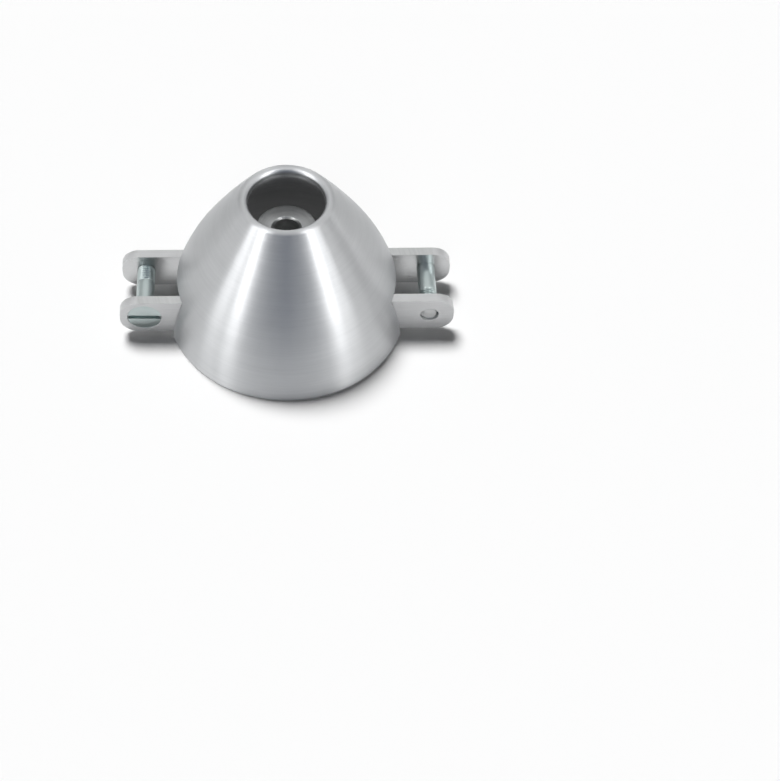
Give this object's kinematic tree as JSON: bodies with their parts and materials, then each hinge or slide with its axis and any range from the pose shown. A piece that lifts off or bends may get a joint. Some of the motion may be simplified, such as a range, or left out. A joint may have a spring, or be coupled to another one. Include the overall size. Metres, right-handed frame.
{
  "type": "propeller spinner",
  "caption": "Open-nosed turned cone spinner with a forked cross yoke that carries folding propeller blades on countersunk pivot screws, and a hub bored for a collet.",
  "frame": {"origin": "centre of the rear rim, the plane on which the spinner stands", "axes": "+Z along the shaft axis from the rear rim to the nose; X through the two blade pivots; Y along the blade screws"},
  "size_m": [0.0554, 0.04, 0.0266],
  "materials": {
    "turned_aluminium": "fine turned and brushed, bright",
    "milled_aluminium": "satin milled",
    "zinc_plated_steel": "bright zinc plated, slightly blue"
  },
  "bodies": {
    "root": {"spinner_cone": "turned_aluminium", "yoke": "milled_aluminium", "blade_screw_left": "zinc_plated_steel", "blade_screw_right": "zinc_plated_steel"}
  },
  "joints": []
}
